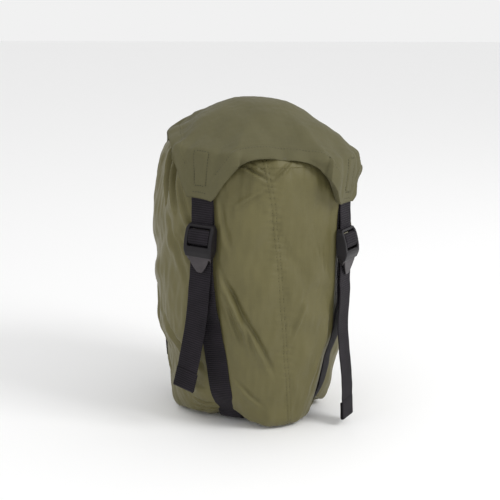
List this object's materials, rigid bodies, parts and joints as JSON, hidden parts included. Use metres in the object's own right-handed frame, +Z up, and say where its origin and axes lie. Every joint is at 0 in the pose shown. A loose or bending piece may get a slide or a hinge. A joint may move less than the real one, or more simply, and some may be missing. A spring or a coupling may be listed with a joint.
{
  "type": "compression stuff sack",
  "caption": "Round fabric stuff sack, stored full, with a cross-shaped lid whose legs hold ladder lock buckles, and webbing straps that pull the lid down.",
  "frame": {"origin": "centre of the underside, on the axis of the sack, in the plane it stands on", "axes": "+Z up along the sack's axis; -Y towards the front seam; +X to the right as seen from the front"},
  "size_m": [0.2188, 0.2192, 0.3546],
  "materials": {
    "sack_cloth": "smooth coated nylon, olive drab, soft sheen",
    "collar_cloth": "lighter coated nylon, olive drab",
    "lid_cloth": "heavier plain-weave nylon, olive drab, matt",
    "lining_cloth": "coated back of the lid cloth, dull",
    "webbing": "ribbed nylon webbing, black, dull",
    "buckle_plastic": "moulded acetal, black, fine satin",
    "eyelet_metal": "blackened brass, satin"
  },
  "bodies": {
    "sack": {"base_panel": "sack_cloth", "side_panel": "sack_cloth", "neck_collar": "collar_cloth", "neck_hem": "collar_cloth", "cord_eyelet": "eyelet_metal", "cross_strap_low": "webbing", "cross_strap_high": "webbing", "side_strap_front_left": "webbing", "side_strap_front_right": "webbing", "side_strap_back_right": "webbing", "side_strap_back_left": "webbing"},
    "lid": {"lid_outer": "lid_cloth", "lid_lining": "lining_cloth", "buckle_loop_front_left": "webbing", "buckle_loop_front_right": "webbing", "buckle_loop_back_right": "webbing", "buckle_loop_back_left": "webbing"},
    "buckle_front_left": {"ladder_lock_front_left": "buckle_plastic", "strap_bight_front_left": "webbing"},
    "tail_front_left": {"strap_tail_front_left": "webbing"},
    "tail_end_front_left": {"tail_hem_front_left": "webbing"},
    "buckle_front_right": {"ladder_lock_front_right": "buckle_plastic", "strap_bight_front_right": "webbing"},
    "tail_front_right": {"strap_tail_front_right": "webbing"},
    "tail_end_front_right": {"tail_hem_front_right": "webbing"},
    "buckle_back_right": {"ladder_lock_back_right": "buckle_plastic", "strap_bight_back_right": "webbing"},
    "tail_back_right": {"strap_tail_back_right": "webbing"},
    "tail_end_back_right": {"tail_hem_back_right": "webbing"},
    "buckle_back_left": {"ladder_lock_back_left": "buckle_plastic", "strap_bight_back_left": "webbing"},
    "tail_back_left": {"strap_tail_back_left": "webbing"},
    "tail_end_back_left": {"tail_hem_back_left": "webbing"}
  },
  "joints": [
    {"name": "lid_lift", "type": "slide", "parent": "sack", "child": "lid", "axis": [0, 0, 1], "range_m": [0, 0.1], "deforming": ["side_strap_front_left", "side_strap_front_right", "side_strap_back_right", "side_strap_back_left"]},
    {"name": "buckle_tilt_front_left", "type": "hinge", "parent": "lid", "child": "buckle_front_left", "pos_m": [-0.07764, -0.07764, 0.23096], "axis": [-0.7071, 0.7071, 0], "range_deg": [0, 45]},
    {"name": "tail_hang_front_left", "type": "hinge", "parent": "buckle_front_left", "child": "tail_front_left", "pos_m": [-0.08202, -0.08202, 0.21356], "axis": [-0.7071, 0.7071, 0], "range_deg": [-45, 0]},
    {"name": "strap_feed_front_left", "type": "slide", "parent": "tail_front_left", "child": "tail_end_front_left", "axis": [0, 0, 1], "range_m": [0, 0.1], "deforming": ["strap_tail_front_left"]},
    {"name": "buckle_tilt_front_right", "type": "hinge", "parent": "lid", "child": "buckle_front_right", "pos_m": [0.07764, -0.07764, 0.22116], "axis": [-0.7071, -0.7071, 0], "range_deg": [0, 45]},
    {"name": "tail_hang_front_right", "type": "hinge", "parent": "buckle_front_right", "child": "tail_front_right", "pos_m": [0.08202, -0.08202, 0.20376], "axis": [-0.7071, -0.7071, 0], "range_deg": [-45, 0]},
    {"name": "strap_feed_front_right", "type": "slide", "parent": "tail_front_right", "child": "tail_end_front_right", "axis": [0, 0, 1], "range_m": [0, 0.1], "deforming": ["strap_tail_front_right"]},
    {"name": "buckle_tilt_back_right", "type": "hinge", "parent": "lid", "child": "buckle_back_right", "pos_m": [0.07764, 0.07764, 0.22116], "axis": [0.7071, -0.7071, 0], "range_deg": [0, 45]},
    {"name": "tail_hang_back_right", "type": "hinge", "parent": "buckle_back_right", "child": "tail_back_right", "pos_m": [0.08202, 0.08202, 0.20376], "axis": [0.7071, -0.7071, 0], "range_deg": [-45, 0]},
    {"name": "strap_feed_back_right", "type": "slide", "parent": "tail_back_right", "child": "tail_end_back_right", "axis": [0, 0, 1], "range_m": [0, 0.1], "deforming": ["strap_tail_back_right"]},
    {"name": "buckle_tilt_back_left", "type": "hinge", "parent": "lid", "child": "buckle_back_left", "pos_m": [-0.07764, 0.07764, 0.23096], "axis": [0.7071, 0.7071, 0], "range_deg": [0, 45]},
    {"name": "tail_hang_back_left", "type": "hinge", "parent": "buckle_back_left", "child": "tail_back_left", "pos_m": [-0.08202, 0.08202, 0.21356], "axis": [0.7071, 0.7071, 0], "range_deg": [-45, 0]},
    {"name": "strap_feed_back_left", "type": "slide", "parent": "tail_back_left", "child": "tail_end_back_left", "axis": [0, 0, 1], "range_m": [0, 0.1], "deforming": ["strap_tail_back_left"]}
  ],
  "couplings": [
    {"joint": "tail_hang_front_left", "follows": "buckle_tilt_front_left", "ratio": -1},
    {"joint": "strap_feed_front_left", "follows": "lid_lift", "ratio": 1},
    {"joint": "tail_hang_front_right", "follows": "buckle_tilt_front_right", "ratio": -1},
    {"joint": "strap_feed_front_right", "follows": "lid_lift", "ratio": 1},
    {"joint": "tail_hang_back_right", "follows": "buckle_tilt_back_right", "ratio": -1},
    {"joint": "strap_feed_back_right", "follows": "lid_lift", "ratio": 1},
    {"joint": "tail_hang_back_left", "follows": "buckle_tilt_back_left", "ratio": -1},
    {"joint": "strap_feed_back_left", "follows": "lid_lift", "ratio": 1}
  ]
}
